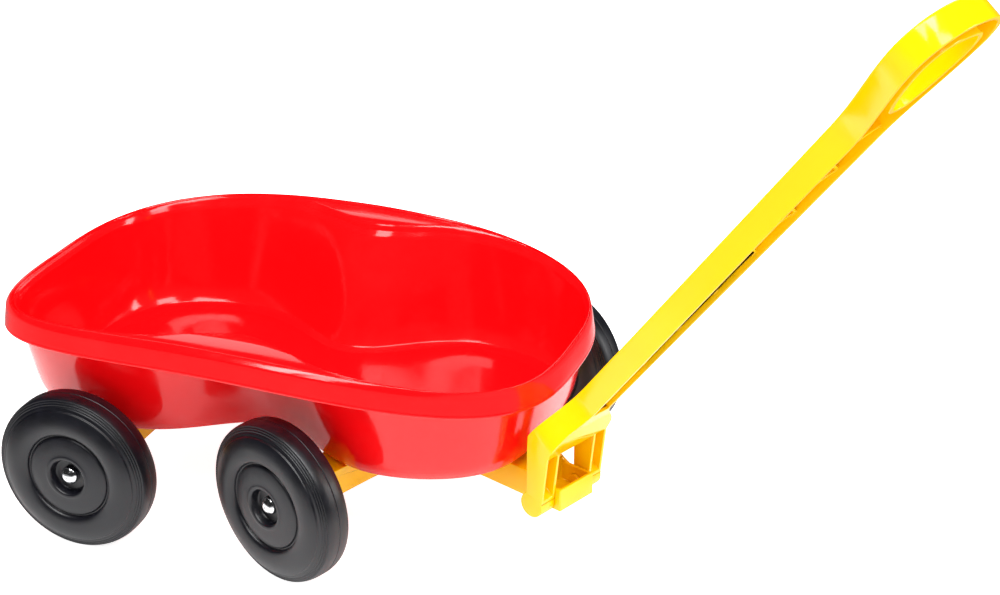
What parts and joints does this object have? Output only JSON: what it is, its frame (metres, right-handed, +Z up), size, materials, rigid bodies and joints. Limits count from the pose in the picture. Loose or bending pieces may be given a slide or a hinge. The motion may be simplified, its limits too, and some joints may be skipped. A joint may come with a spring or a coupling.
{
  "type": "kids pull wagon",
  "caption": "Small pull wagon: waisted moulded tub on round wheels, turning front axle, hinged pull handle with a closed loop grip.",
  "frame": {"origin": "middle of the tub's flat inner floor, on its upper face", "axes": "+X forwards along the tub towards the front axle and handle, +Y to the wagon's left, +Z up"},
  "size_m": [0.9016, 0.4483, 0.5898],
  "materials": {
    "tub_red": "high gloss moulded plastic",
    "frame_yellow": "gloss moulded plastic",
    "wheel_black": "satin blow-moulded plastic with fine pitting",
    "bush_black": "satin",
    "cap_chrome": "bright chrome",
    "zinc_steel": "zinc-plated"
  },
  "bodies": {
    "wagon": {"tub": "tub_red", "rear_axle_bracket": "frame_yellow", "rear_bolts": "zinc_steel", "rear_nuts": "zinc_steel", "rear_axle": "zinc_steel", "rear_left_cap": "cap_chrome", "rear_right_cap": "cap_chrome", "rear_left_washer": "zinc_steel", "rear_right_washer": "zinc_steel", "steering_washer": "bush_black", "kingpin": "zinc_steel", "kingpin_washer": "zinc_steel", "kingpin_lower_washer": "zinc_steel", "kingpin_nut": "zinc_steel"},
    "steering_bogie": {"front_bogie": "frame_yellow", "front_axle": "zinc_steel", "front_left_cap": "cap_chrome", "front_right_cap": "cap_chrome", "front_left_washer": "zinc_steel", "front_right_washer": "zinc_steel"},
    "pull_handle": {"handle": "frame_yellow"},
    "front_left_wheel": {"front_left_wheel": "wheel_black"},
    "front_right_wheel": {"front_right_wheel": "wheel_black"},
    "rear_left_wheel": {"rear_left_wheel": "wheel_black"},
    "rear_right_wheel": {"rear_right_wheel": "wheel_black"}
  },
  "joints": [
    {"name": "steer", "type": "hinge", "parent": "wagon", "child": "steering_bogie", "pos_m": [0.123, 0, -0.0055], "axis": [0, 0, 1], "range_deg": [-3, 46]},
    {"name": "handle_lift", "type": "hinge", "parent": "steering_bogie", "child": "pull_handle", "pos_m": [0.27548, -0.06037, -0.024], "axis": [-0.3681, -0.9298, 0], "range_deg": [-54, 4]},
    {"name": "front_left_spin", "type": "hinge", "parent": "steering_bogie", "child": "front_left_wheel", "pos_m": [0.19184, 0.17387, -0.0195], "axis": [0.3681, 0.9298, 0], "continuous": true},
    {"name": "front_right_spin", "type": "hinge", "parent": "steering_bogie", "child": "front_right_wheel", "pos_m": [0.05416, -0.17387, -0.0195], "axis": [0.3681, 0.9298, 0], "continuous": true},
    {"name": "rear_left_spin", "type": "hinge", "parent": "wagon", "child": "rear_left_wheel", "pos_m": [-0.142, 0.187, -0.0195], "axis": [0, 1, 0], "continuous": true},
    {"name": "rear_right_spin", "type": "hinge", "parent": "wagon", "child": "rear_right_wheel", "pos_m": [-0.142, -0.187, -0.0195], "axis": [0, 1, 0], "continuous": true}
  ]
}
